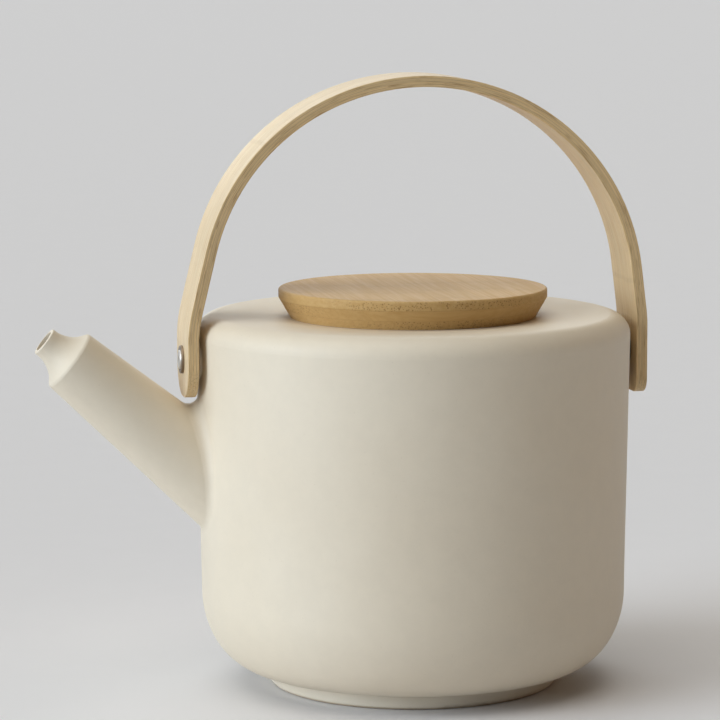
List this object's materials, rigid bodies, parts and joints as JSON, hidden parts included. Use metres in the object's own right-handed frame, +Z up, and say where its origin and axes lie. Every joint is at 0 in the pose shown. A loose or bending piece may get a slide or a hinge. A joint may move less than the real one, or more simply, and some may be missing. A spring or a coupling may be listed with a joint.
{
  "type": "teapot with infuser",
  "caption": "Round stoneware teapot with a straight spout, swinging laminated bail handle, bamboo lid and a lift-out steel infuser basket.",
  "frame": {"origin": "centre of the foot ring's underside, on the pot's axis", "axes": "+Z up along the pot's axis, spout towards -X, handle arch in the XZ plane"},
  "size_m": [0.1983, 0.14, 0.1969],
  "materials": {
    "stoneware": "matte",
    "bamboo_handle": "satin",
    "bamboo_lid": "satin",
    "steel": "brushed",
    "brass": "machined",
    "nylon": "matte",
    "silicone": "matte"
  },
  "bodies": {
    "pot": {"pot_body": "stoneware", "pivot_inserts": "brass", "pivot_screws": "steel", "pivot_washers": "nylon"},
    "handle": {"handle_outer_strip": "bamboo_handle", "handle_outer_core": "bamboo_handle", "handle_inner_core": "bamboo_handle", "handle_inner_strip": "bamboo_handle", "pivot_bushes": "steel"},
    "infuser": {"infuser_sleeve": "steel", "infuser_rim": "steel", "infuser_base": "steel", "infuser_gasket": "silicone"},
    "lid": {"lid_disc": "bamboo_lid", "lid_plug": "bamboo_lid", "lid_seal": "silicone", "lid_screws": "steel"}
  },
  "joints": [
    {"name": "handle_swing", "type": "hinge", "parent": "pot", "child": "handle", "pos_m": [0, 0, 0.107], "axis": [1, 0, 0], "range_deg": [-100, 100]},
    {"name": "infuser_lift", "type": "slide", "parent": "pot", "child": "infuser", "axis": [0, 0, 1], "range_m": [0, 0.028]},
    {"name": "lid_lift", "type": "slide", "parent": "infuser", "child": "lid", "axis": [0, 0, 1], "range_m": [0, 0.02]}
  ]
}
